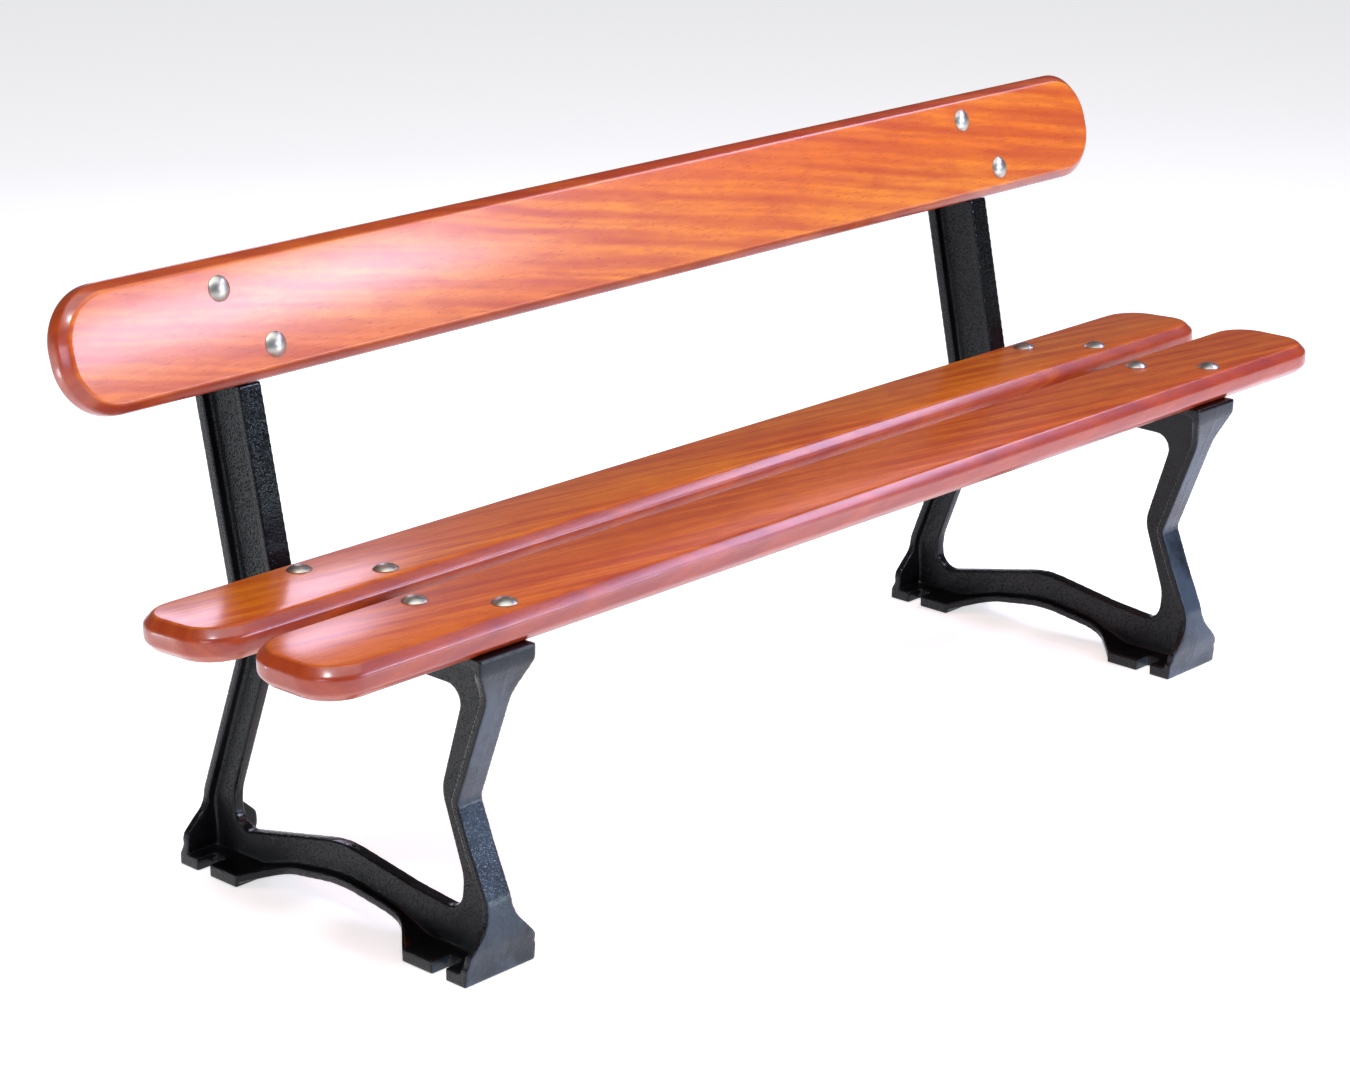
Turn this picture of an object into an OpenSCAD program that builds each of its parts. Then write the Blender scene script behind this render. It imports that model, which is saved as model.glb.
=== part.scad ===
// Park bench: three hardwood planks bolted to two cast-iron side frames.
// X runs along the bench, +Y points to the back, +Z up.
// The origin is on the ground, in the middle of the bench's footprint.

/* [Planks] */
// Length of every plank
plank_l = 2000; // [1700:10:2400]
// Width of every plank
plank_w = 160; // [150:1:164]
// Thickness of every plank
plank_t = 43; // [40:1:45]
// Chamfer along every edge of a plank
plank_c = 12; // [6:1:14]
// Corner radius of the seat planks' ends
seat_end_r = 60; // [20:1:72]
// Corner radius of the backrest's ends
back_end_r = 74; // [20:1:74]

/* [Plank places] */
// Height of the front seat plank's top face at its middle
front_z = 462; // [458:1:466]
// Height of the rear seat plank's top face at its middle
rear_z = 453; // [450:1:456]
// Height of the backrest's front face at its middle
back_z = 741; // [736:1:746]
// Fall of the front seat plank to the rear, in degrees
front_tilt = 0.5; // [0:0.5:2]
// Fall of the rear seat plank to the rear, in degrees
rear_tilt = 3; // [1:0.5:4]
// Lean of the backrest, in degrees
back_tilt = 16; // [15:0.5:17]

/* [Side frames] */
// Distance between the middles of the two side frames
frame_gap = 1446; // [1300:2:1500]
// Thickness of the frames' web
web_t = 18; // [12:1:20]
// Width of the flanges along the legs and the beam
flange_w = 42; // [36:1:48]
// Thickness of the flanges along the legs and the beam
flange_t = 11; // [8:1:12]
// Thickness of the flange up the rear of the upright
upright_t = 16; // [12:1:18]
// Width of the pads that carry the planks
pad_w = 92; // [92:1:108]
// Thickness of the pads that carry the planks
pad_t = 12; // [10:1:14]

/* [Feet] */
// Width of a foot plate, across the frame
foot_w = 118; // [112:1:124]
// Length of a foot plate, front to back
foot_l = 112; // [106:1:118]
// Thickness of a foot plate
foot_t = 17; // [14:1:22]
// Width of the anchor notches
notch_w = 23; // [18:1:26]
// Depth of the anchor notches, from the plate's side
notch_d = 30; // [22:1:34]

/* [Fasteners] */
// Diameter of the bolts' shanks
bolt_d = 12; // [10:1:12]
// Diameter of the bolts' heads
head_d = 32.5; // [28:0.5:34]
// Height of the bolts' domed heads
head_h = 7; // [5:0.5:8]
// Half the distance between a pair of bolts, across the plank
bolt_across = 41; // [36:1:44]
// Half the distance between a pair of bolts, along the plank
bolt_along = 34; // [32:1:35]

/* [Hidden] */
$fn = 64;

left = -1;
right = 1;
iron = [0.10, 0.10, 0.11];
timber = [0.70, 0.30, 0.12];
steel = [0.72, 0.72, 0.70];

// A seat or back place: [y, z, angle about X, first and last edge of its pad across the plank]
back = [175, back_z, 90 - back_tilt, -66, 68];
rear = [12, rear_z, -rear_tilt, -104, 116];
front = [-195, front_z, -front_tilt, -77, 104];

// Ends of the footprint, front and rear
foot_front = -258;
foot_rear = 278;

hole_d = bolt_d + 1.5;
neck = bolt_d;
neck_h = 8;
washer_d = 2 * bolt_d;
washer_t = 2.5;
nut_h = 10;
nut_af = 1.6 * bolt_d - 0.2;
thread_gap = 0.1;
tip = 3;
shank_l = plank_t + pad_t + washer_t + nut_h + tip;

// Height of the front feet's noses, length of the beam's fans and corner radius of the pads
nose_h = 23;
fan_l = 42;
pad_corner = 8;

// ---- outline functions: a corner is [y, z, radius], and an arc of that radius rounds it ----
function unit(v) = v / norm(v);
function slerp(a, b, w, t) = (sin((1 - t) * w) * a + sin(t * w) * b) / sin(w);
function corner(a, p, b) =
  let (u = unit([a[0] - p[0], a[1] - p[1]]), v = unit([b[0] - p[0], b[1] - p[1]]),
       turn = 180 - acos(min(1, max(-1, u * v))), r = p[2], at = [p[0], p[1]])
  r == 0 || turn < 1 ? [at] :
  let (m = at + unit(u + v) * r / cos(turn / 2), reach = r * tan(turn / 2),
       s = (at + u * reach - m) / r, e = (at + v * reach - m) / r, n = max(3, ceil(turn / 7)))
  [for (k = [0:n]) m + r * slerp(s, e, turn, k / n)];
function rounded(p) =
  [for (i = [0:len(p) - 1]) each corner(p[(i + len(p) - 1) % len(p)], p[i], p[(i + 1) % len(p)])];
function open_rounded(p) =
  [for (i = [0:len(p) - 1])
    each (i == 0 || i == len(p) - 1 ? [[p[i][0], p[i][1]]] : corner(p[i - 1], p[i], p[i + 1]))];
function side_of(p, i) =
  let (a = p[max(0, i - 1)], b = p[min(len(p) - 1, i + 1)], t = unit(b - a)) [-t[1], t[0]];
// A band of thickness t on the left of the line p
function band(p, t) = concat(p, [for (i = [len(p) - 1:-1:0]) p[i] + t * side_of(p, i)]);
// The point of a place at u across the plank and d below its face
function at_place(s, u, d) =
  [s[0] + u * cos(s[2]) + d * sin(s[2]), s[1] + u * sin(s[2]) - d * cos(s[2]), 0];
function mirrored(p) = concat(p, [for (i = [len(p) - 1:-1:0]) [-p[i][0], p[i][1], p[i][2]]]);

// ---- the side frame's profile, in Y and Z ----
front_line = [
  [foot_front, 0, 0], [-260, 20, 0], [-266, 50, 50], [-257, 96, 60], [-228, 160, 120],
  [-207, 212, 10], [-277, 400, 25], at_place(front, -82, plank_t),
];
rear_line = [[foot_rear, 0, 0], [foot_rear, 17, 0], [272, 27, 6], [275, 90, 60], [191, 312, 90], [200, 351, 0]];
upright_line = [[191, 312, 0], [264, 655, 90], at_place(back, 66, plank_t + pad_t)];
front_face_line = [[122, 404, 0], [176, 656, 0]];
// The arch starts just inside the foot plates, its top flush with theirs
arch_low = foot_t - flange_t;
arch_line = [
  [foot_front + foot_l - 30, arch_low, 0], [foot_front + foot_l, arch_low, 30], [-80, 29, 90],
  [10, 41, 200], [98, 27, 90], [foot_rear - foot_l, arch_low, 30],
  [foot_rear - foot_l + 30, arch_low, 0],
];
window = [
  [-209, 358, 22], [-166, 218, 50], [-203, 114, 50], [-199, 65, 26], [-112, 73, 140],
  [20, 93, 150], [227, 46, 26], [227, 100, 60], [130, 358, 24],
];
pad_mid = plank_t + pad_t / 2;
web_line = concat(
  front_line,
  [at_place(front, front[3] + 3, pad_mid), at_place(front, front[4] - 4, pad_mid)],
  [at_place(rear, rear[3] + 4, pad_mid), at_place(rear, rear[4], pad_mid)],
  [[177, 655, 3], [186, 653, 6], [201, 661, 0]],
  [at_place(back, back[3], pad_mid), at_place(back, back[4] - 3, pad_mid)],
  [[264, 655, 90], [191, 312, 60], [275, 90, 60], [272, 27, 6], [foot_rear, 17, 0], [foot_rear, 0, 0]],
  [[foot_rear - foot_l, 0, 0], [foot_rear - foot_l, arch_low, 0], [98, 27, 90]],
  [[10, 41, 200], [-80, 29, 90], [foot_front + foot_l, arch_low, 0], [foot_front + foot_l, 0, 0]]
);
// Half the front view of a leg, in X and Z: wide at the foot, slim up the leg, wide at the seat
leg_half = [
  [foot_w / 2, -1, 0], [foot_w / 2, nose_h, 0], [foot_w / 2 - 3, nose_h + 3, 0],
  [foot_w / 2 - 3, 38, 14], [flange_w / 2, 76, 45], [flange_w / 2, 358, 50], [pad_w / 2, 400, 16],
  [pad_w / 2, 430, 0],
];
rear_leg_half = [
  [foot_w / 2, -1, 0], [foot_w / 2, 43, 14], [flange_w / 2, 78, 26], [flange_w / 2, 430, 0],
];
// Half the top view of the beam, in X and Y: it fans out into the feet
beam_half = [
  [foot_w / 2, foot_front, 0], [foot_w / 2, foot_front + foot_l, 6],
  [flange_w / 2, foot_front + foot_l + fan_l, 40], [flange_w / 2, foot_rear - foot_l - fan_l, 40],
  [foot_w / 2, foot_rear - foot_l, 6], [foot_w / 2, foot_rear, 0],
];

// ---- helpers ----
// Extrude a Y-Z outline along X, w wide and centred
module across(p, w) {
  rotate([90, 0, 90]) translate([0, 0, -w / 2]) linear_extrude(w) polygon(p);
}
// Extrude an X-Y outline up through the feet and the beam
module up_z(p) {
  translate([0, 0, -1]) linear_extrude(80) polygon(p);
}
// Extrude an X-Z outline along Y over the whole frame
module along_y(p) {
  rotate([90, 0, 0]) translate([0, 0, -400]) linear_extrude(800) polygon(p);
}
// Stand on a place: X along the plank, Y across it, Z out of its face
module on_place(s) {
  translate([0, s[0], s[1]]) rotate([s[2], 0, 0]) children();
}
// The two bolts of a place at one side frame lie on a diagonal
module at_bolt(s, side, number) {
  k = number == 1 ? -1 : 1;
  on_place(s) translate([side * frame_gap / 2 + k * bolt_along, -k * bolt_across, 0]) children();
}

// ---- planks ----
function chamfered(a, b, c) =
  [[-a, -c], [-a + c, 0], [b - c, 0], [b, -c], [b, -plank_t + c], [b - c, -plank_t],
   [-a + c, -plank_t], [-a, -plank_t + c]];
// One plank with chamfered edges and rounded corners, its face at Z = 0
module plank_body(end_r) {
  half_w = plank_w / 2;
  half_l = plank_l / 2;
  rotate([90, 0, 90]) translate([0, 0, end_r - half_l]) linear_extrude(plank_l - 2 * end_r)
    polygon(chamfered(half_w, half_w, plank_c));
  rotate([90, 0, 0]) translate([0, 0, end_r - half_w]) linear_extrude(plank_w - 2 * end_r)
    polygon(chamfered(half_l, half_l, plank_c));
  for (x = [left, right], y = [-1, 1])
    translate([x * (half_l - end_r), y * (half_w - end_r), 0]) rotate_extrude()
      polygon([[0, 0], [end_r - plank_c, 0], [end_r, -plank_c], [end_r, -plank_t + plank_c],
               [end_r - plank_c, -plank_t], [0, -plank_t]]);
}
// A plank on its place, drilled for the bolts and their square necks
module plank(s, end_r) {
  color(timber) difference() {
    on_place(s) plank_body(end_r);
    for (side = [left, right], n = [1, 2]) at_bolt(s, side, n) {
      translate([0, 0, -plank_t - 1]) cylinder(d = hole_d, h = plank_t + 2);
      translate([-neck / 2 - 0.1, -neck / 2 - 0.1, -neck_h]) cube([neck + 0.2, neck + 0.2, neck_h + 1]);
    }
  }
}

// ---- cast side frames ----
module pad(s, w) {
  half = [[w / 2, s[3], pad_corner], [w / 2, s[4], pad_corner]];
  on_place(s) translate([0, 0, -plank_t - pad_t]) linear_extrude(pad_t)
    polygon(rounded(mirrored(half)));
}
module foot(y) {
  translate([-foot_w / 2, y, 0]) cube([foot_w, foot_l, foot_t]);
}
// Anchor notches in both sides of a foot, their middle at y
module notches(y) {
  for (x = [left, right])
    translate([x * (foot_w / 2 - notch_d / 2 + 1) - notch_d / 2 - 1, y - notch_w / 2, -1])
      cube([notch_d + 2, notch_w, 90]);
}
module side_frame(side) {
  color(iron) difference() {
    translate([side * frame_gap / 2, 0, 0]) difference() {
      union() {
        difference() {
          across(rounded(web_line), web_t);
          across(rounded(window), web_t + 2);
        }
        intersection() {
          across(band(open_rounded(front_line), -flange_t), foot_w);
          along_y(rounded(mirrored(leg_half)));
        }
        intersection() {
          across(band(open_rounded(rear_line), flange_t), foot_w);
          along_y(rounded(mirrored(rear_leg_half)));
        }
        across(band(open_rounded(upright_line), upright_t), flange_w);
        across(band(open_rounded(front_face_line), -pad_t), 36);
        intersection() {
          across(band(open_rounded(arch_line), flange_t), foot_w);
          up_z(rounded(mirrored(beam_half)));
        }
        foot(foot_front);
        foot(foot_rear - foot_l);
        pad(front, pad_w);
        pad(rear, pad_w);
        pad(back, pad_w);
      }
      notches(foot_front + 47);
      notches(foot_rear - 47);
    }
    for (s = [back, rear, front], n = [1, 2])
      at_bolt(s, side, n) translate([0, 0, -plank_t - pad_t - 1]) cylinder(d = hole_d, h = pad_t + 2);
  }
}

// ---- fasteners ----
// Domed bolt: a cap of a sphere over a square neck and a round shank
module bolt(s, side, number) {
  cap_r = (head_d * head_d / 4 + head_h * head_h) / (2 * head_h);
  color(steel) at_bolt(s, side, number) {
    intersection() {
      translate([0, 0, head_h - cap_r]) sphere(r = cap_r);
      cylinder(d = head_d, h = head_h + 1);
    }
    translate([-neck / 2, -neck / 2, -neck_h]) cube([neck, neck, neck_h + 1]);
    translate([0, 0, -shank_l]) cylinder(d = bolt_d, h = shank_l + 1);
  }
}
module washer(s, side, number) {
  color(steel) at_bolt(s, side, number) translate([0, 0, -plank_t - pad_t - washer_t]) difference() {
    cylinder(d = washer_d, h = washer_t);
    translate([0, 0, -1]) cylinder(d = bolt_d + 1, h = washer_t + 2);
  }
}
module nut(s, side, number) {
  color(steel) at_bolt(s, side, number)
    translate([0, 0, -plank_t - pad_t - washer_t - nut_h]) difference() {
      cylinder(d = nut_af / cos(30), h = nut_h, $fn = 6);
      translate([0, 0, -1]) cylinder(d = bolt_d + 2 * thread_gap, h = nut_h + 2);
    }
}

side_frame(left);  // left_frame
side_frame(right);  // right_frame
plank(back, back_end_r);  // backrest_plank
plank(rear, seat_end_r);  // rear_seat_plank
plank(front, seat_end_r);  // front_seat_plank
bolt(back, left, 1);  // back_bolt_left_1
bolt(back, left, 2);  // back_bolt_left_2
bolt(back, right, 1);  // back_bolt_right_1
bolt(back, right, 2);  // back_bolt_right_2
bolt(rear, left, 1);  // rear_bolt_left_1
bolt(rear, left, 2);  // rear_bolt_left_2
bolt(rear, right, 1);  // rear_bolt_right_1
bolt(rear, right, 2);  // rear_bolt_right_2
bolt(front, left, 1);  // front_bolt_left_1
bolt(front, left, 2);  // front_bolt_left_2
bolt(front, right, 1);  // front_bolt_right_1
bolt(front, right, 2);  // front_bolt_right_2
washer(back, left, 1);  // back_washer_left_1
washer(back, left, 2);  // back_washer_left_2
washer(back, right, 1);  // back_washer_right_1
washer(back, right, 2);  // back_washer_right_2
washer(rear, left, 1);  // rear_washer_left_1
washer(rear, left, 2);  // rear_washer_left_2
washer(rear, right, 1);  // rear_washer_right_1
washer(rear, right, 2);  // rear_washer_right_2
washer(front, left, 1);  // front_washer_left_1
washer(front, left, 2);  // front_washer_left_2
washer(front, right, 1);  // front_washer_right_1
washer(front, right, 2);  // front_washer_right_2
nut(back, left, 1);  // back_nut_left_1
nut(back, left, 2);  // back_nut_left_2
nut(back, right, 1);  // back_nut_right_1
nut(back, right, 2);  // back_nut_right_2
nut(rear, left, 1);  // rear_nut_left_1
nut(rear, left, 2);  // rear_nut_left_2
nut(rear, right, 1);  // rear_nut_right_1
nut(rear, right, 2);  // rear_nut_right_2
nut(front, left, 1);  // front_nut_left_1
nut(front, left, 2);  // front_nut_left_2
nut(front, right, 1);  // front_nut_right_1
nut(front, right, 2);  // front_nut_right_2
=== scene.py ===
"""A park bench: three varnished hardwood planks bolted to two painted cast-iron side frames."""

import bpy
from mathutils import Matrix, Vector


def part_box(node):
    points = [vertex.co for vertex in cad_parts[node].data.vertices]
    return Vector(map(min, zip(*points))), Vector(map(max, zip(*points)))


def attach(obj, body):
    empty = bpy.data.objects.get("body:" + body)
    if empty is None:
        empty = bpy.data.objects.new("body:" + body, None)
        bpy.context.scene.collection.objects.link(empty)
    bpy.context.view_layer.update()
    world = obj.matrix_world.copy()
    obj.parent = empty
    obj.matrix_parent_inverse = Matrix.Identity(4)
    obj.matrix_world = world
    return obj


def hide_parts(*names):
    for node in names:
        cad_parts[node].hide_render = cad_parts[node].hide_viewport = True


bl_info = {
    "name": "Park Bench",
    "version": (1, 0, 0),
    "blender": (4, 5, 0),
    "location": "3D View > Sidebar > Bench",
    "description": "Builds a timber and cast-iron park bench around its packed frame",
    "category": "Add Mesh",
}

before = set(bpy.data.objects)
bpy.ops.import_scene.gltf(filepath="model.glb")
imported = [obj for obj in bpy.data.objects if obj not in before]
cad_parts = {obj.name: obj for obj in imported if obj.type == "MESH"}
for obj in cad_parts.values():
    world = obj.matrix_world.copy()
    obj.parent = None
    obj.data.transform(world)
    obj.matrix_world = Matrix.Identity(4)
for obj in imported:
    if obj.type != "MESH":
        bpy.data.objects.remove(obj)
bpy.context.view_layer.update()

import math

import bmesh
import bpy
from bpy.props import FloatProperty, FloatVectorProperty, IntProperty, PointerProperty
from mathutils import Matrix, Vector, noise

BODY = "root"
PLANKS = ("backrest_plank", "rear_seat_plank", "front_seat_plank")
FRAMES = ("left_frame", "right_frame")
PLACES = {"back": "backrest_plank", "rear": "rear_seat_plank", "front": "front_seat_plank"}
SIDES = ("left", "right")
FIXINGS = ("bolt", "washer", "nut")
ALONG = Vector((1.0, 0.0, 0.0))
MM = 0.001
WELD = 0.01 * MM

# modelling: how finely curves are cut
LATHE_SIDES = 48
CORNER_SEGMENTS = 22
EASING_SEGMENTS = 4
THREAD_TURNS = 9
DOME_STEPS = 12

# timber: how often each layer of the figure repeats in a metre, along, across and into the plank
DRIFT = (1.3, 8.0, 8.0)
PATCHES = (3.0, 11.0, 11.0)
RIBBON = (1.0, 12.0, 7.0)
STREAK = (2.0, 28.0, 14.0)
MOTTLE = (13.0, 26.0, 20.0)
FLECK = (9.0, 150.0, 150.0)
FIBRE = (16.0, 620.0, 620.0)
PORE = (70.0, 1000.0, 1000.0)
FIGURE_TILT = 0.6
# how far the figure is moved from one plank to the next, and each plank's own tint
FIGURE_STEP = (3.1, 0.37, 0.23)
TONES = {
    "backrest_plank": (1.0, 1.0, 1.0),
    "rear_seat_plank": (0.97, 0.90, 0.92),
    "front_seat_plank": (0.87, 0.66, 0.80),
}
# the normal's share towards the show face, from the full darker edge tint to none
EDGE_FACING = (0.76, 0.97)

# iron: where the painted blue-grey reflection lies on the front leg, by the normal's forward share
# and the heights and depths of its fade
PAINTED_REFLECTION_FACING = (-0.70, -0.88)
PAINTED_REFLECTION_TOP = (0.36, 0.42)
PAINTED_REFLECTION_BACK = (-0.17, -0.15)

FLOOR_SIZE = 80.0
FLOOR_GLOW = 0.66
SKY_COLOUR = (0.93, 0.96, 1.0, 1.0)
SKY_STRENGTH = 0.09
# name, where it stands, what it points at, width and height, watts, colour
LIGHTS = (
    ("top_softbox", (-0.4, -0.9, 4.2), (0.0, 0.1, 0.4), (4.6, 3.0), 92.0, (1.0, 0.99, 0.98)),
    ("small_softbox", (-2.2, -0.9, 3.3), (-0.2, 0.0, 0.4), (0.4, 0.4), 38.0, (0.92, 0.97, 1.0)),
    ("front_softbox", (1.7, -3.3, 1.72), (-0.4, 0.0, 0.7), (2.0, 0.45), 72.0, (0.68, 0.74, 1.0)),
    ("low_softbox", (1.1, -2.3, 0.24), (-0.6, -0.3, 0.25), (1.4, 0.3), 10.0, (0.80, 0.93, 1.0)),
    ("strip_softbox", (2.4, -1.35, 2.75), (0.2, -0.2, 0.45), (2.9, 0.6), 58.0, (0.76, 0.68, 1.0)),
    ("back_softbox", (1.5, 3.2, 1.9), (-0.7, 0.0, 0.5), (0.8, 0.7), 10.0, (0.85, 0.72, 1.0)),
    ("left_softbox", (-4.6, -1.9, 1.6), (-1.0, 0.1, 0.6), (1.4, 1.0), 34.0, (0.85, 0.75, 1.0)),
    ("streak_softbox", (-1.85, 1.15, 0.17), (-0.73, 0.16, 0.55), (0.16, 0.24), 2.0,
     (0.85, 0.95, 1.0)),
)


# ---------------------------------------------------------------- reading the frame

def points_of(node):
    """The corner points of a CAD node."""
    return [v.co.copy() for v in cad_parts[node].data.vertices]


def facing_of(node):
    """The outward normal of a plank's show face, the largest one that looks up or forward."""
    areas = {}
    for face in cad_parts[node].data.polygons:
        n = face.normal
        if n.z - n.y > 0.5:
            key = (0.0, round(n.y, 3), round(n.z, 3))
            areas[key] = areas.get(key, 0.0) + face.area
    return Vector(max(areas, key=areas.get)).normalized()


def spread(points, axis):
    """The lowest and highest reach of the points along an axis."""
    reach = [p.dot(axis) for p in points]
    return min(reach), max(reach)


def place_matrix(x, across, out, normal):
    """Local X along the bench, Y across the plank, Z out of its face."""
    side = normal.cross(ALONG)
    spot = ALONG * x + side * across + normal * out
    turn = Matrix((ALONG, side, normal)).transposed().to_4x4()
    return Matrix.Translation(spot) @ turn


def piece_place(node, normal):
    """A piece's middle along and across the bench, its reach along the normal, and its size."""
    points = points_of(node)
    x_low, x_high = spread(points, ALONG)
    u_low, u_high = spread(points, normal.cross(ALONG))
    n_low, n_high = spread(points, normal)
    size = (x_high - x_low, u_high - u_low, n_high - n_low)
    return (x_low + x_high) / 2, (u_low + u_high) / 2, n_low, n_high, size


# ---------------------------------------------------------------- modelling helpers

def deselect():
    bpy.ops.object.select_all(action="DESELECT")


def select_only(piece):
    deselect()
    bpy.context.view_layer.objects.active = piece
    piece.select_set(True)


def start_edit(piece):
    select_only(piece)
    bpy.ops.object.mode_set(mode="EDIT")


def end_edit():
    bpy.ops.object.mode_set(mode="OBJECT")


def select_edges(piece, wanted):
    """Select only the edges that the test accepts, in edit mode."""
    bpy.ops.mesh.select_mode(type="EDGE")
    bpy.ops.mesh.select_all(action="DESELECT")
    work = bmesh.from_edit_mesh(piece.data)
    for edge in work.edges:
        if wanted(edge):
            edge.select = True
    bmesh.update_edit_mesh(piece.data)


def rise_of(edge):
    """How far an edge climbs."""
    return abs(edge.verts[0].co.z - edge.verts[1].co.z)


def is_sharp(angle):
    return lambda edge: edge.is_manifold and edge.calc_face_angle(0.0) > angle


def lathe(name, rings, closed=False):
    """Turn (radius, height) pairs round the Z axis by extruding one ring after another."""
    deselect()
    radius, height = rings[0]
    bpy.ops.mesh.primitive_circle_add(
        vertices=LATHE_SIDES, radius=radius, fill_type="NOTHING")
    piece = bpy.context.object
    piece.name = name
    start_edit(piece)
    bpy.ops.mesh.select_mode(type="EDGE")
    bpy.ops.mesh.select_all(action="SELECT")
    bpy.ops.transform.translate(value=(0.0, 0.0, height))
    if not closed:
        bpy.ops.mesh.edge_face_add()
    for next_radius, next_height in rings[1:]:
        rise = (0.0, 0.0, next_height - height)
        bpy.ops.mesh.extrude_edges_move(TRANSFORM_OT_translate={"value": rise})
        if next_radius == 0.0:
            bpy.ops.mesh.merge(type="CENTER")
            break
        scale = next_radius / radius
        centre = (0.0, 0.0, next_height)
        bpy.ops.transform.resize(value=(scale, scale, 1.0), center_override=centre)
        radius, height = next_radius, next_height
    else:
        if not closed:
            bpy.ops.mesh.edge_face_add()
    bpy.ops.mesh.select_all(action="SELECT")
    bpy.ops.mesh.remove_doubles(threshold=WELD)
    bpy.ops.mesh.normals_make_consistent(inside=False)
    end_edit()
    return piece


def apply_modifier(piece, kind, **settings):
    select_only(piece)
    bpy.ops.object.modifier_add(type=kind)
    modifier = piece.modifiers[-1]
    for name, value in settings.items():
        setattr(modifier, name, value)
    bpy.ops.object.modifier_apply(modifier=modifier.name)


def cut(piece, tool, operation):
    """Boolean the tool into the piece, then delete the tool."""
    apply_modifier(piece, "BOOLEAN", object=tool, operation=operation, solver="EXACT")
    bpy.data.objects.remove(tool)


def shade(piece, angle):
    select_only(piece)
    bpy.ops.object.shade_smooth_by_angle(angle=math.radians(angle))


def put(piece, matrix):
    """Place a piece and write the place into its mesh."""
    select_only(piece)
    piece.matrix_world = matrix
    bpy.ops.object.transform_apply(location=True, rotation=True, scale=True)


def copy_of(piece, name):
    twin = piece.copy()
    twin.data = piece.data.copy()
    twin.name = name
    bpy.context.scene.collection.objects.link(twin)
    return twin


def finish_piece(piece, node, material):
    piece.data.materials.clear()
    piece.data.materials.append(material)
    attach(piece, BODY)
    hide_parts(node)


# ---------------------------------------------------------------- material helpers

class Nodes:
    """A short way to write a material's node tree."""

    def __init__(self, name):
        self.material = bpy.data.materials.new(name)
        self.material.use_nodes = True
        self.tree = self.material.node_tree
        self.shader = self.tree.nodes["Principled BSDF"]

    def add(self, kind, **settings):
        node = self.tree.nodes.new(kind)
        for name, value in settings.items():
            setattr(node, name, value)
        return node

    def link(self, output, socket):
        self.tree.links.new(output, socket)

    def coordinate(self, name):
        return self.add("ShaderNodeTexCoord").outputs[name]

    def set(self, values):
        """Set the shader's own sockets."""
        for name, value in values.items():
            self.shader.inputs[name].default_value = value

    def place(self, shift=(0, 0, 0), turn=(0, 0, 0), scale=(1, 1, 1), source=None):
        mapping = self.add("ShaderNodeMapping")
        mapping.inputs["Location"].default_value = shift
        mapping.inputs["Rotation"].default_value = turn
        mapping.inputs["Scale"].default_value = scale
        if source is None:
            source = self.coordinate("Object")
        self.link(source, mapping.inputs["Vector"])
        return mapping.outputs["Vector"]

    def noise(self, vector, scale, detail=3.0, roughness=0.5, distortion=0.0):
        texture = self.add("ShaderNodeTexNoise")
        texture.inputs["Scale"].default_value = scale
        texture.inputs["Detail"].default_value = detail
        texture.inputs["Roughness"].default_value = roughness
        texture.inputs["Distortion"].default_value = distortion
        self.link(vector, texture.inputs["Vector"])
        return texture.outputs["Fac"]

    def wave(self, vector, scale, distortion, detail, detail_scale, roughness):
        texture = self.add("ShaderNodeTexWave", bands_direction="Y")
        texture.inputs["Scale"].default_value = scale
        texture.inputs["Distortion"].default_value = distortion
        texture.inputs["Detail"].default_value = detail
        texture.inputs["Detail Scale"].default_value = detail_scale
        texture.inputs["Detail Roughness"].default_value = roughness
        self.link(vector, texture.inputs["Vector"])
        return texture.outputs["Fac"]

    def ramp(self, value, *stops):
        node = self.add("ShaderNodeValToRGB")
        band = node.color_ramp
        while len(band.elements) < len(stops):
            band.elements.new(0.5)
        for element, (spot, colour) in zip(band.elements, stops):
            element.position = spot
            element.color = (*colour, 1.0)
        self.link(value, node.inputs["Fac"])
        return node.outputs["Color"]

    def span(self, value, low, high, to_low=0.0, to_high=1.0):
        node = self.add("ShaderNodeMapRange")
        node.inputs["From Min"].default_value = low
        node.inputs["From Max"].default_value = high
        node.inputs["To Min"].default_value = to_low
        node.inputs["To Max"].default_value = to_high
        self.link(value, node.inputs["Value"])
        return node.outputs["Result"]

    def math(self, operation, first, second=None):
        node = self.add("ShaderNodeMath", operation=operation)
        for socket, value in zip(node.inputs, (first, second)):
            if value is None:
                continue
            if isinstance(value, (int, float)):
                socket.default_value = value
            else:
                self.link(value, socket)
        return node.outputs["Value"]

    def mix(self, factor, first, second, blend="MIX"):
        node = self.add("ShaderNodeMix", data_type="RGBA", blend_type=blend)
        sockets = (node.inputs["Factor"], node.inputs[6], node.inputs[7])
        for socket, value in zip(sockets, (factor, first, second)):
            if isinstance(value, (int, float)):
                socket.default_value = value
            elif isinstance(value, tuple):
                socket.default_value = (*value, 1.0)
            else:
                self.link(value, socket)
        return node.outputs[2]

    def bump(self, height, strength, distance, below=None):
        node = self.add("ShaderNodeBump")
        node.inputs["Strength"].default_value = strength
        node.inputs["Distance"].default_value = distance
        self.link(height, node.inputs["Height"])
        if below is not None:
            self.link(below, node.inputs["Normal"])
        return node.outputs["Normal"]

    def axis(self, vector, name):
        split = self.add("ShaderNodeSeparateXYZ")
        self.link(vector, split.inputs["Vector"])
        return split.outputs[name]


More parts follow.
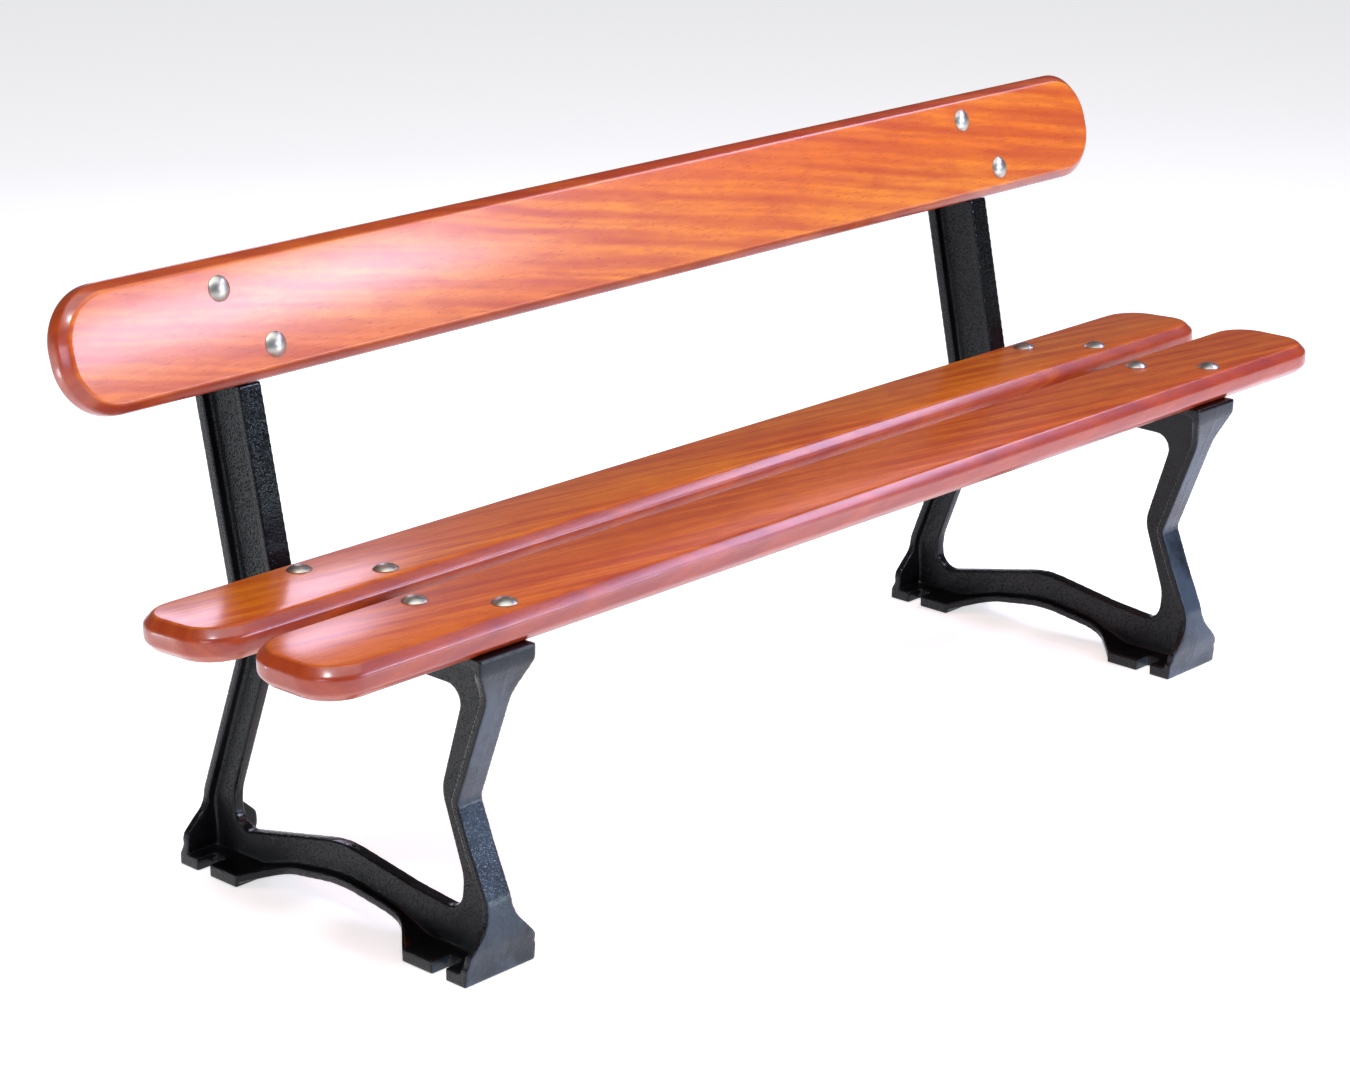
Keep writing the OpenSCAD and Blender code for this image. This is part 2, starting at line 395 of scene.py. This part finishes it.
def timber_material(name, settings, lean, shift, tone):
    """Varnished red-brown hardwood: slanting wavy figure, fine fibres, pores, darker end grain."""
    m = Nodes(name)
    dark, middle, light = (tuple(settings.dark), tuple(settings.middle), tuple(settings.light))

    def darken(colour, layer, low, high, most, share=None):
        """Lay the dark colour over a layer's span, up to the most it may cover."""
        amount = m.span(layer, low, high, 0.0, most)
        if share is not None:
            amount = m.math("MULTIPLY", amount, share)
        return m.mix(amount, colour, dark)

    # turn the pattern so that its X runs along the plank and its Z goes into it
    board = m.place(shift=shift, turn=(-lean, 0.0, 0.0))
    slanted = m.place(turn=(FIGURE_TILT, 0.0, settings.figure_slant), source=board)
    drift = m.noise(m.place(scale=DRIFT, source=slanted), 1.0, detail=2.0)
    patches = m.noise(m.place(scale=PATCHES, source=slanted), 1.0, roughness=0.6, distortion=0.4)
    ribbon = m.wave(m.place(scale=RIBBON, source=slanted), 1.0, distortion=6.5, detail=3.0,
                    detail_scale=1.3, roughness=0.55)
    streak = m.wave(m.place(scale=STREAK, source=slanted), 1.0, distortion=8.0, detail=3.0,
                    detail_scale=1.2, roughness=0.55)
    mottle = m.noise(m.place(scale=MOTTLE, source=slanted), 1.0, detail=4.0, roughness=0.6,
                     distortion=0.8)
    fleck = m.noise(m.place(scale=FLECK, source=slanted), 1.0, detail=4.0, roughness=0.6)
    fibre = m.noise(m.place(scale=FIBRE, source=board), 1.0, roughness=0.6)
    pore = m.noise(m.place(scale=PORE, source=board), 1.0, detail=2.0)

    colour = m.ramp(drift, (0.35, middle), (0.62, light))
    fade = m.span(patches, 0.36, 0.62, 0.25, 0.95)
    colour = darken(colour, ribbon, 0.80, 0.0, 0.80, fade)
    colour = darken(colour, streak, 0.80, 0.0, 0.45, fade)
    colour = darken(colour, mottle, 0.44, 0.70, 0.38)
    colour = darken(colour, fleck, 0.46, 0.75, 0.35)
    colour = darken(colour, fibre, 0.48, 0.74, 0.30)
    pore_colour = tuple(0.35 * c for c in dark)
    colour = m.mix(m.span(pore, 0.63, 0.70, 0.0, 0.60), colour, pore_colour)
    colour = m.mix(1.0, colour, tone, blend="MULTIPLY")

    # a darker, redder tint on the chamfers and edges, by how far the normal turns from the show
    # face, and darker end grain
    flat_normal = m.place(turn=(-lean, 0.0, 0.0), source=m.coordinate("Normal"))
    edge = m.span(m.math("ABSOLUTE", m.axis(flat_normal, "Z")), *EDGE_FACING, 1.0, 0.0)
    colour = m.mix(edge, colour, tuple(settings.edge_tinting), blend="MULTIPLY")
    half = settings.length / 2
    reach = m.math("ABSOLUTE", m.axis(m.coordinate("Object"), "X"))
    colour = darken(colour, reach, half - 30 * MM, half + 4 * MM, 0.45)
    m.link(colour, m.shader.inputs["Base Color"])

    smooth, rough = settings.roughness - 0.05, settings.roughness + 0.10
    gloss = m.span(m.math("ADD", fleck, fibre), 0.7, 1.4, smooth, rough)
    m.link(gloss, m.shader.inputs["Roughness"])
    fine = m.bump(m.math("ADD", fibre, m.math("MULTIPLY", pore, 0.6)), 0.40, 0.3 * MM)
    m.link(m.bump(streak, 0.10, 0.5 * MM, fine), m.shader.inputs["Normal"])
    m.set({
        "Specular IOR Level": 0.5,
        "Specular Tint": (0.85, 0.80, 1.0, 1.0),
        "Coat Weight": 0.75,
        "Coat Roughness": 0.19,
        "Coat IOR": 1.5,
    })
    return m.material


def iron_material(settings, middle):
    """Thick gloss black paint: pitted flanks, smoother show faces, a parting line and a painted
    blue-grey reflection on the front legs.
    """
    m = Nodes("painted_cast_iron")
    here = m.coordinate("Object")
    facing = m.math("ABSOLUTE", m.axis(m.add("ShaderNodeNewGeometry").outputs["Normal"], "X"))
    flank = m.span(facing, 0.45, 0.85, 0.18, 1.0)
    peel = m.noise(here, 190.0, roughness=0.55)
    sand = m.noise(here, 430.0, detail=4.0, roughness=0.65, distortion=0.3)
    pits = m.add("ShaderNodeTexVoronoi", feature="F1")
    pits.inputs["Scale"].default_value = 300.0
    m.link(here, pits.inputs["Vector"])
    holes = m.span(pits.outputs["Distance"], 0.10, 0.42)
    drift = m.noise(here, 22.0)
    grit = m.math("MULTIPLY", m.math("ADD", sand, m.math("MULTIPLY", holes, 0.7)), flank)
    across = m.math("ABSOLUTE", m.axis(here, "X"))
    from_line = m.math("ABSOLUTE", m.math("SUBTRACT", across, middle))
    line = m.span(from_line, 0.3 * MM, 1.6 * MM, 1.0, 0.0)

    # painted blue-grey reflection on the front faces of the front legs, laid in blotches
    forward = m.span(m.axis(m.coordinate("Normal"), "Y"), *PAINTED_REFLECTION_FACING)
    below = m.span(m.axis(here, "Z"), *PAINTED_REFLECTION_TOP, 1.0, 0.0)
    leg = m.span(m.axis(here, "Y"), *PAINTED_REFLECTION_BACK, 1.0, 0.0)
    reflection_painted = m.math("MULTIPLY", m.math("MULTIPLY", forward, below), leg)
    blotch = m.noise(here, 14.0, detail=4.0, roughness=0.6, distortion=0.5)
    painted_reflection_share = m.math("MULTIPLY", reflection_painted, m.span(blotch, 0.36, 0.58, 0.25, 1.0))

    paint, thin_paint = tuple(settings.paint), tuple(settings.thin_paint)
    colour = m.mix(m.span(drift, 0.35, 0.7), paint, thin_paint)
    # lay the painted blue-grey reflection over the paint
    colour = m.mix(painted_reflection_share, colour, tuple(settings.painted_reflection))
    m.link(colour, m.shader.inputs["Base Color"])
    gloss = m.span(m.math("ADD", drift, m.math("MULTIPLY", sand, 0.5)), 0.45, 1.1, 0.07, 0.17)
    m.link(gloss, m.shader.inputs["Roughness"])
    soft = m.bump(peel, 0.35, 1.0 * MM, m.bump(grit, 0.9, 1.3 * MM))
    m.link(m.bump(line, 0.15, 0.5 * MM, soft), m.shader.inputs["Normal"])
    coat = m.bump(peel, 0.22, 1.0 * MM, m.bump(grit, 0.6, 1.1 * MM))
    m.link(coat, m.shader.inputs["Coat Normal"])
    m.set({
        "Specular IOR Level": 0.12,
        "Specular Tint": (0.74, 0.90, 1.0, 1.0),
        "Coat Weight": 0.35,
        "Coat Roughness": 0.05,
        "Coat IOR": 1.5,
    })
    return m.material


def steel_material(settings):
    """Satin stainless steel with a slightly grainy pressed surface."""
    m = Nodes("satin_steel")
    here = m.coordinate("Object")
    grain = m.noise(here, 900.0, roughness=0.6)
    cloud = m.noise(here, 120.0, detail=2.0)
    steel = tuple(settings.steel)
    dull = tuple(0.78 * c for c in steel)
    colour = m.mix(m.span(cloud, 0.3, 0.7, 0.0, 0.5), steel, dull)
    m.link(colour, m.shader.inputs["Base Color"])
    m.link(m.span(m.math("ADD", grain, cloud), 0.7, 1.3, 0.30, 0.44), m.shader.inputs["Roughness"])
    m.link(m.bump(grain, 0.15, 0.15 * MM), m.shader.inputs["Normal"])
    m.set({"Metallic": 1.0})
    return m.material


# ---------------------------------------------------------------- settings

class BenchTimberSettings(bpy.types.PropertyGroup):
    length: FloatProperty(
        name="Plank length", description="Length of every plank", default=2.0, unit="LENGTH")
    chamfer: FloatProperty(
        name="Chamfer", description="Chamfer along every plank edge",
        default=0.012, unit="LENGTH")
    easing: FloatProperty(
        name="Easing", description="Rounding of the chamfers' edges",
        default=0.0035, unit="LENGTH")
    seat_end: FloatProperty(
        name="Seat end radius", description="Corner radius of the seat planks",
        default=0.060, unit="LENGTH")
    back_end: FloatProperty(
        name="Back end radius", description="Corner radius of the backrest",
        default=0.074, unit="LENGTH")
    dark: FloatVectorProperty(
        name="Dark grain", description="Colour of the dark figure",
        default=(0.46, 0.056, 0.003), subtype="COLOR")
    middle: FloatVectorProperty(
        name="Ground colour", description="Main colour of the timber",
        default=(0.69, 0.148, 0.004), subtype="COLOR")
    light: FloatVectorProperty(
        name="Light grain", description="Colour of the light figure",
        default=(0.79, 0.235, 0.006), subtype="COLOR")
    # a darker, redder tint for the chamfers and edges, by how far the normal turns from the show
    # face
    edge_tinting: FloatVectorProperty(
        name="Edge tinting", description="Tint of the chamfers and edges, which take more tinting",
        default=(0.58, 0.34, 0.42), subtype="COLOR")
    roughness: FloatProperty(
        name="Roughness", description="Roughness under the varnish", default=0.40)
    figure_slant: FloatProperty(
        name="Figure slant", description="Angle of the figure to the plank",
        default=0.16, subtype="ANGLE")


class BenchIronSettings(bpy.types.PropertyGroup):
    voxel: FloatProperty(
        name="Mesh size", description="Mesh size of the castings",
        default=0.0026, unit="LENGTH")
    smoothing: IntProperty(
        name="Smoothing", description="Passes that round the castings' edges and corners",
        default=7)
    line_height: FloatProperty(
        name="Parting line", description="Height of the parting line",
        default=0.0004, unit="LENGTH")
    paint: FloatVectorProperty(
        name="Paint", description="Colour of the paint",
        default=(0.003, 0.003, 0.0035), subtype="COLOR")
    thin_paint: FloatVectorProperty(
        name="Thin paint", description="Colour where the paint is thin",
        default=(0.006, 0.0065, 0.0075), subtype="COLOR")
    # a painted blue-grey reflection, laid on the front faces of the front legs
    painted_reflection: FloatVectorProperty(
        name="Painted_reflection", description="Colour of the scuffed front faces",
        default=(0.045, 0.062, 0.085), subtype="COLOR")


class BenchFixingSettings(bpy.types.PropertyGroup):
    head_height: FloatProperty(
        name="Head height", description="Height of the bolts' domed heads",
        default=0.007, unit="LENGTH")
    shank: FloatProperty(
        name="Shank", description="Diameter of the bolts' shanks", default=0.012, unit="LENGTH")
    pitch: FloatProperty(
        name="Thread pitch", description="Pitch of the bolts' threads",
        default=0.00175, unit="LENGTH")
    steel: FloatVectorProperty(
        name="Steel", description="Colour of the steel",
        default=(0.50, 0.50, 0.45), subtype="COLOR")


class BenchStageSettings(bpy.types.PropertyGroup):
    camera_spot: FloatVectorProperty(
        name="Camera", description="Where the camera stands",
        default=(-3.303, -2.944, 1.792), subtype="TRANSLATION")
    azimuth: FloatProperty(
        name="Azimuth", description="Turn of the view round Z",
        default=math.radians(-47.04), subtype="ANGLE")
    elevation: FloatProperty(
        name="Elevation", description="How far the view looks down",
        default=math.radians(18.31), subtype="ANGLE")
    roll: FloatProperty(
        name="Roll", description="Roll of the camera",
        default=math.radians(0.33), subtype="ANGLE")
    lens: FloatProperty(name="Lens", description="Focal length in millimetres", default=90.27)
    floor: FloatVectorProperty(
        name="Floor", description="Colour of the floor",
        default=(0.90, 0.90, 0.91), subtype="COLOR")


# ---------------------------------------------------------------- pieces

def model_plank(name, size, end_radius, settings):
    """One plank round the origin: corners rounded in plan, then every edge chamfered and eased."""
    length, width, thickness = size
    deselect()
    bpy.ops.mesh.primitive_cube_add(size=1.0)
    piece = bpy.context.object
    piece.name = name
    start_edit(piece)
    bpy.ops.mesh.select_all(action="SELECT")
    bpy.ops.transform.resize(value=(length, width, thickness), center_override=(0.0, 0.0, 0.0))
    select_edges(piece, lambda e: rise_of(e) > thickness / 2)
    bpy.ops.mesh.bevel(offset=end_radius, segments=CORNER_SEGMENTS, affect="EDGES")
    select_edges(piece, lambda e: rise_of(e) < MM and is_sharp(1.0)(e))
    bpy.ops.mesh.bevel(offset=settings.chamfer, segments=1, affect="EDGES")
    select_edges(piece, is_sharp(math.radians(30.0)))
    bpy.ops.mesh.bevel(offset=settings.easing, segments=EASING_SEGMENTS, affect="EDGES")
    bpy.ops.mesh.select_all(action="SELECT")
    bpy.ops.mesh.normals_make_consistent(inside=False)
    end_edit()
    shade(piece, 40.0)
    return piece


class BENCH_OT_planks(bpy.types.Operator):
    """Model the backrest and the two seat planks"""

    bl_idname = "bench.planks"
    bl_label = "Planks"

    def execute(self, context):
        settings = context.scene.bench_timber
        for number, node in enumerate(PLANKS):
            normal = facing_of(node)
            x, across, low, high, size = piece_place(node, normal)
            end_radius = settings.back_end if node == "backrest_plank" else settings.seat_end
            piece = model_plank(node + "_timber", size, end_radius, settings)
            put(piece, place_matrix(x, across, (low + high) / 2, normal))
            lean = math.atan2(-normal.y, normal.z)
            shift = tuple(step * number for step in FIGURE_STEP)
            wood = timber_material(node + "_hardwood", settings, lean, shift, TONES[node])
            finish_piece(piece, node, wood)
        return {"FINISHED"}


def model_casting(name, node, settings):
    """A cast frame: the CAD shape remeshed and smoothed, so that every edge is rounded."""
    casting = bpy.data.objects.new(name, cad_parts[node].data.copy())
    bpy.context.scene.collection.objects.link(casting)
    start_edit(casting)
    bpy.ops.mesh.select_all(action="SELECT")
    bpy.ops.mesh.remove_doubles(threshold=WELD)
    end_edit()
    casting.data.remesh_voxel_size = settings.voxel
    casting.data.use_remesh_preserve_volume = True
    bpy.ops.object.voxel_remesh()
    apply_modifier(casting, "SMOOTH", factor=0.5, iterations=settings.smoothing)
    return casting


def raise_parting_line(casting, middle, settings):
    """Lift the points beside the frame's middle plane, unevenly, as a dressed parting line."""
    normals = [v.normal.copy() for v in casting.data.vertices]
    for vertex, normal in zip(casting.data.vertices, normals):
        off = abs(vertex.co.x - middle)
        if off < settings.voxel * 0.9 and abs(normal.x) < 0.4 and vertex.co.z > 5 * MM:
            lift = settings.line_height * (0.6 + 0.5 * noise.noise(vertex.co * 40.0))
            vertex.co += normal * lift * (1.0 - off / settings.voxel)


class BENCH_OT_frames(bpy.types.Operator):
    """Model the two cast side frames"""

    bl_idname = "bench.frames"
    bl_label = "Side frames"

    def execute(self, context):
        settings = context.scene.bench_iron
        low, high = (Vector(corner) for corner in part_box(FRAMES[0]))
        middle = (low.x + high.x) / 2
        iron = iron_material(settings, abs(middle))
        casting = model_casting(FRAMES[0] + "_casting", FRAMES[0], settings)
        raise_parting_line(casting, middle, settings)
        shade(casting, 60.0)
        twin = copy_of(casting, FRAMES[1] + "_casting")
        put(twin, Matrix.Translation((-2 * middle, 0.0, 0.0)))
        finish_piece(casting, FRAMES[0], iron)
        finish_piece(twin, FRAMES[1], iron)
        return {"FINISHED"}


def model_bolt(name, length, head_radius, settings):
    """A domed bolt, its head's underside at Z = 0: threaded tip, plain shank, cap of a sphere."""
    radius = settings.shank / 2
    tip = settings.head_height - length
    rings = [(radius - 1.2 * MM, tip), (radius - 0.4 * MM, tip + 0.8 * MM)]
    for turn in range(THREAD_TURNS):
        start = tip + 0.8 * MM + turn * settings.pitch
        rings += [(radius, start + 0.4 * settings.pitch), (radius, start + 0.6 * settings.pitch)]
        rings += [(radius - 0.9 * MM, start + settings.pitch)]
    rings += [(radius, rings[-1][1] + 1.0 * MM), (radius, -0.2 * MM), (head_radius - 0.4 * MM, 0.0)]
    rings += [(head_radius, 0.4 * MM), (head_radius, 0.8 * MM)]
    rise = settings.head_height - 0.8 * MM
    ball = (head_radius ** 2 + rise ** 2) / (2 * rise)
    full = math.asin(head_radius / ball)
    for step in range(1, DOME_STEPS):
        angle = full * (1 - step / DOME_STEPS)
        rings += [(ball * math.sin(angle), settings.head_height - ball + ball * math.cos(angle))]
    rings += [(0.0, settings.head_height)]
    return lathe(name, rings)


def model_washer(name, radius, bore, height):
    ease = 0.3 * MM
    rings = [(bore, 0.0), (radius - ease, 0.0), (radius, ease), (radius, height - ease)]
    rings += [(radius - ease, height), (bore, height), (bore, 0.0)]
    return lathe(name, rings, closed=True)


def model_nut(name, across_corners, bore, height):
    """A hexagon with turned chamfers at both ends and a bore."""
    deselect()
    corner = across_corners / 2
    bpy.ops.mesh.primitive_cylinder_add(
        vertices=6, radius=corner, depth=height, location=(0.0, 0.0, height / 2))
    nut = bpy.context.object
    nut.name = name
    bpy.ops.object.transform_apply(location=True, rotation=True, scale=True)
    slope = math.radians(30.0)
    flat = corner * math.cos(slope)
    drop = (corner - flat) * math.tan(slope)
    turned = [(flat, 0.0), (corner, drop), (corner, height - drop), (flat, height)]
    cut(nut, lathe("turned", [(r, z * 1.0002 - 0.001 * MM) for r, z in turned]), "INTERSECT")
    mouth = 0.6 * MM
    hole = [(bore + mouth, -MM), (bore + mouth, 0.0), (bore, mouth), (bore, height - mouth)]
    hole += [(bore + mouth, height), (bore + mouth, height + MM)]
    cut(nut, lathe("bore", hole), "DIFFERENCE")
    apply_modifier(nut, "BEVEL", width=0.25 * MM, segments=2,
                   limit_method="ANGLE", angle_limit=slope)
    return nut


class BENCH_OT_fixings(bpy.types.Operator):
    """Model the bolts, washers and nuts"""

    bl_idname = "bench.fixings"
    bl_label = "Fixings"

    def execute(self, context):
        settings = context.scene.bench_fixings
        steel = steel_material(settings)
        patterns = {}
        for count, kind in enumerate(FIXINGS, 1):
            for place, plank in PLACES.items():
                normal = facing_of(plank)
                for side in SIDES:
                    for number in (1, 2):
                        node = f"{place}_{kind}_{side}_{number}"
                        x, across, low, high, size = piece_place(node, normal)
                        if kind not in patterns:
                            patterns[kind] = self.model(kind, size, settings)
                        piece = copy_of(patterns[kind], node + "_steel")
                        base = high - settings.head_height if kind == "bolt" else low
                        turn = Matrix.Rotation(0.7 * number + count * 0.5, 4, "Z")
                        put(piece, place_matrix(x, across, base, normal) @ turn)
                        finish_piece(piece, node, steel)
        for pattern in patterns.values():
            bpy.data.objects.remove(pattern)
        return {"FINISHED"}

    def model(self, kind, size, settings):
        if kind == "bolt":
            piece = model_bolt("bolt_pattern", size[2], size[0] / 2, settings)
        elif kind == "washer":
            bore = settings.shank / 2 + 0.5 * MM
            piece = model_washer("washer_pattern", size[0] / 2, bore, size[2])
        else:
            corners = max(size[0], size[1])
            piece = model_nut("nut_pattern", corners, settings.shank / 2 + 0.1 * MM, size[2])
        shade(piece, 32.0)
        return piece


def add_light(name, spot, aim, size, power, colour):
    deselect()
    bpy.ops.object.light_add(type="AREA", location=spot)
    lamp = bpy.context.object
    lamp.name = name
    lamp.data.shape = "RECTANGLE"
    lamp.data.size, lamp.data.size_y = size
    lamp.data.energy = power
    lamp.data.color = colour
    lamp.visible_camera = False
    lamp.rotation_euler = (Vector(aim) - Vector(spot)).to_track_quat("-Z", "Y").to_euler()


class BENCH_OT_stage(bpy.types.Operator):
    """Add the floor, the lights and the camera"""

    bl_idname = "bench.stage"
    bl_label = "Stage"

    def execute(self, context):
        settings = context.scene.bench_stage
        deselect()
        bpy.ops.mesh.primitive_plane_add(size=FLOOR_SIZE, location=(0.0, 0.0, -0.5 * MM))
        floor = context.object
        floor.name = "floor"
        bpy.ops.object.transform_apply(location=True, rotation=True, scale=True)
        m = Nodes("pale_floor")
        m.set({
            "Base Color": (*settings.floor, 1.0),
            "Roughness": 0.9,
            "Specular IOR Level": 0.1,
            "Emission Color": (1.0, 1.0, 1.0, 1.0),
            "Emission Strength": FLOOR_GLOW,
        })
        floor.data.materials.append(m.material)

        world = bpy.data.worlds.new("studio")
        world.use_nodes = True
        sky = world.node_tree.nodes["Background"]
        sky.inputs["Color"].default_value = SKY_COLOUR
        sky.inputs["Strength"].default_value = SKY_STRENGTH
        context.scene.world = world

        for light in LIGHTS:
            add_light(*light)
        context.scene.view_settings.view_transform = "Standard"

        deselect()
        bpy.ops.object.camera_add(location=settings.camera_spot)
        camera = context.object
        camera.name = "camera"
        turn = Matrix.Rotation(settings.azimuth, 3, "Z")
        tip = Matrix.Rotation(math.pi / 2 - settings.elevation, 3, "X")
        roll = Matrix.Rotation(settings.roll, 3, "Z")
        camera.rotation_euler = (turn @ tip @ roll).to_euler()
        camera.data.sensor_fit = "HORIZONTAL"
        camera.data.sensor_width = 36.0
        camera.data.lens = settings.lens
        context.scene.camera = camera
        return {"FINISHED"}


class BENCH_PT_panel(bpy.types.Panel):
    """Sizes, colours and building steps of the bench"""

    bl_idname = "BENCH_PT_panel"
    bl_label = "Park Bench"
    bl_space_type = "VIEW_3D"
    bl_region_type = "UI"
    bl_category = "Bench"

    def draw(self, context):
        scene = context.scene
        for group in (scene.bench_timber, scene.bench_iron, scene.bench_fixings, scene.bench_stage):
            box = self.layout.box()
            for name in group.__annotations__:
                box.prop(group, name)
        for step in STEPS:
            self.layout.operator(step.bl_idname)


GROUPS = {
    "bench_timber": BenchTimberSettings,
    "bench_iron": BenchIronSettings,
    "bench_fixings": BenchFixingSettings,
    "bench_stage": BenchStageSettings,
}
STEPS = (BENCH_OT_planks, BENCH_OT_frames, BENCH_OT_fixings, BENCH_OT_stage)


def register():
    for group in (*GROUPS.values(), *STEPS, BENCH_PT_panel):
        bpy.utils.register_class(group)
    for name, group in GROUPS.items():
        setattr(bpy.types.Scene, name, PointerProperty(type=group))


def unregister():
    for name in GROUPS:
        delattr(bpy.types.Scene, name)
    for group in reversed((*GROUPS.values(), *STEPS, BENCH_PT_panel)):
        bpy.utils.unregister_class(group)


def main():
    register()
    bpy.ops.bench.planks()
    bpy.ops.bench.frames()
    bpy.ops.bench.fixings()
    bpy.ops.bench.stage()


if __name__ == "__main__":
    main()
